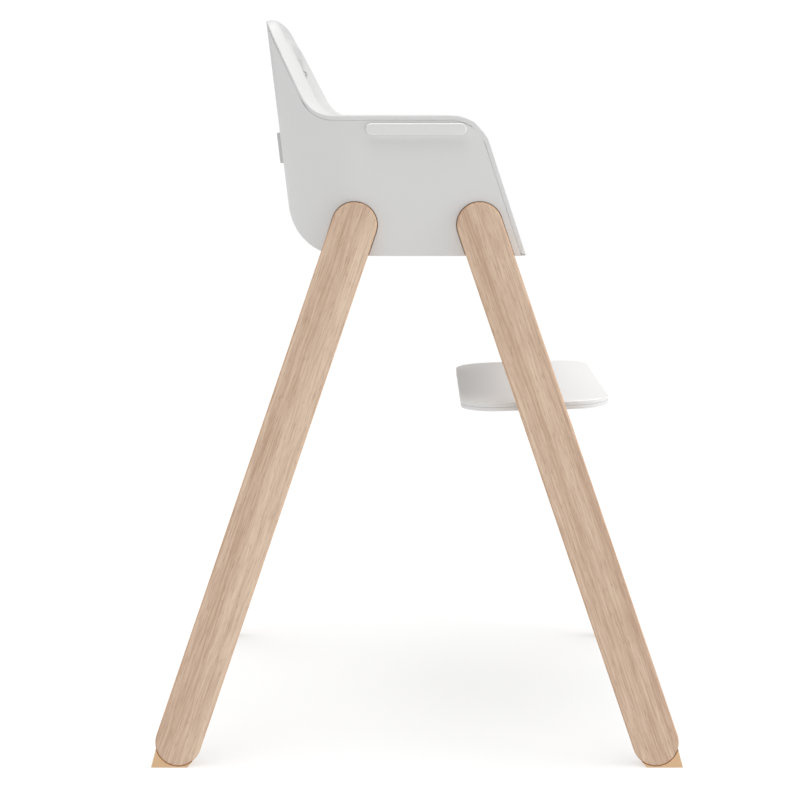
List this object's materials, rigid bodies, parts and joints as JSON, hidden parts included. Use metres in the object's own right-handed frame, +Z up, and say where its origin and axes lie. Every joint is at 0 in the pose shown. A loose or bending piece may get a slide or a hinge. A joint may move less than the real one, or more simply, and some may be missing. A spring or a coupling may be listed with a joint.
{
  "type": "baby high chair",
  "caption": "White moulded bucket seat on splayed wooden board legs, with a sliding footrest, side tray rails and a buckled harness.",
  "frame": {"origin": "middle of the chair's footprint, on the floor", "axes": "+X to the front, +Y to the sitter's left, +Z up"},
  "size_m": [0.65, 0.566, 0.915],
  "materials": {
    "seat_white": "satin",
    "rail_white": "satin",
    "beech": "clear satin lacquer",
    "tan_plastic": "fine texture",
    "footrest_white": "satin",
    "grey_plastic": "fine texture",
    "harness_grey": "fine texture",
    "webbing": "woven",
    "button_orange": "fine texture",
    "steel_black": "powder coat",
    "steel": "zinc plated"
  },
  "bodies": {
    "chair": {"anchor_screws": "steel", "buckle_body": "harness_grey", "buckle_cover": "harness_grey", "buckle_spring": "steel", "buckle_tongue_left": "harness_grey", "buckle_tongue_right": "harness_grey", "cross_bar_front": "steel_black", "cross_bar_rear": "steel_black", "crotch_strap": "webbing", "foot_front_left": "tan_plastic", "foot_front_right": "tan_plastic", "foot_rear_left": "tan_plastic", "foot_rear_right": "tan_plastic", "footrest_track_left": "grey_plastic", "footrest_track_right": "grey_plastic", "harness_anchor": "grey_plastic", "harness_bar": "steel_black", "harness_slot_plate": "grey_plastic", "lap_strap_left": "webbing", "lap_strap_right": "webbing", "leg_bolts": "steel", "leg_front_left": "beech", "leg_front_right": "beech", "leg_inserts": "steel", "leg_rear_left": "beech", "leg_rear_right": "beech", "leg_washers": "steel", "liner_screws": "steel", "outer_shell": "seat_white", "rail_screws": "steel", "seat_liner": "seat_white", "shoulder_strap_left": "webbing", "shoulder_strap_right": "webbing", "side_plate_left": "steel_black", "side_plate_right": "steel_black", "track_screws": "steel", "tray_rail_left": "rail_white", "tray_rail_right": "rail_white"},
    "footrest": {"footrest_plate": "footrest_white", "footrest_cover": "footrest_white", "footrest_screws": "steel", "footrest_shoe_left": "grey_plastic", "footrest_shoe_right": "grey_plastic", "shoe_screws": "steel", "lever_pins": "steel"},
    "lever_left": {"footrest_lever_left": "grey_plastic"},
    "lever_right": {"footrest_lever_right": "grey_plastic"},
    "buckle_button": {"buckle_button": "button_orange"},
    "slider_left": {"strap_slider_left": "harness_grey"},
    "slider_right": {"strap_slider_right": "harness_grey"}
  },
  "joints": [
    {"name": "footrest_slide", "type": "slide", "parent": "chair", "child": "footrest", "axis": [0.3235, 0, -0.9462], "range_m": [0, 0.08]},
    {"name": "lever_left_hinge", "type": "hinge", "parent": "footrest", "child": "lever_left", "pos_m": [0.15439, 0.168, 0.40434], "axis": [0.9995, 0, 0.0314], "range_deg": [0, 75]},
    {"name": "lever_right_hinge", "type": "hinge", "parent": "footrest", "child": "lever_right", "pos_m": [0.15439, -0.168, 0.40434], "axis": [-0.9995, 0, -0.0314], "range_deg": [0, 75]},
    {"name": "button_press", "type": "slide", "parent": "chair", "child": "buckle_button", "axis": [0, 0, -1], "range_m": [0, 0.003], "stiffness_N_per_m": 800, "springref_m": -0.002, "deforming": ["buckle_spring"]},
    {"name": "slider_left_slide", "type": "slide", "parent": "chair", "child": "slider_left", "axis": [-0.1136, 0, 0.9935], "range_m": [-0.03, 0.03]},
    {"name": "slider_right_slide", "type": "slide", "parent": "chair", "child": "slider_right", "axis": [-0.1136, 0, 0.9935], "range_m": [-0.03, 0.03]}
  ]
}
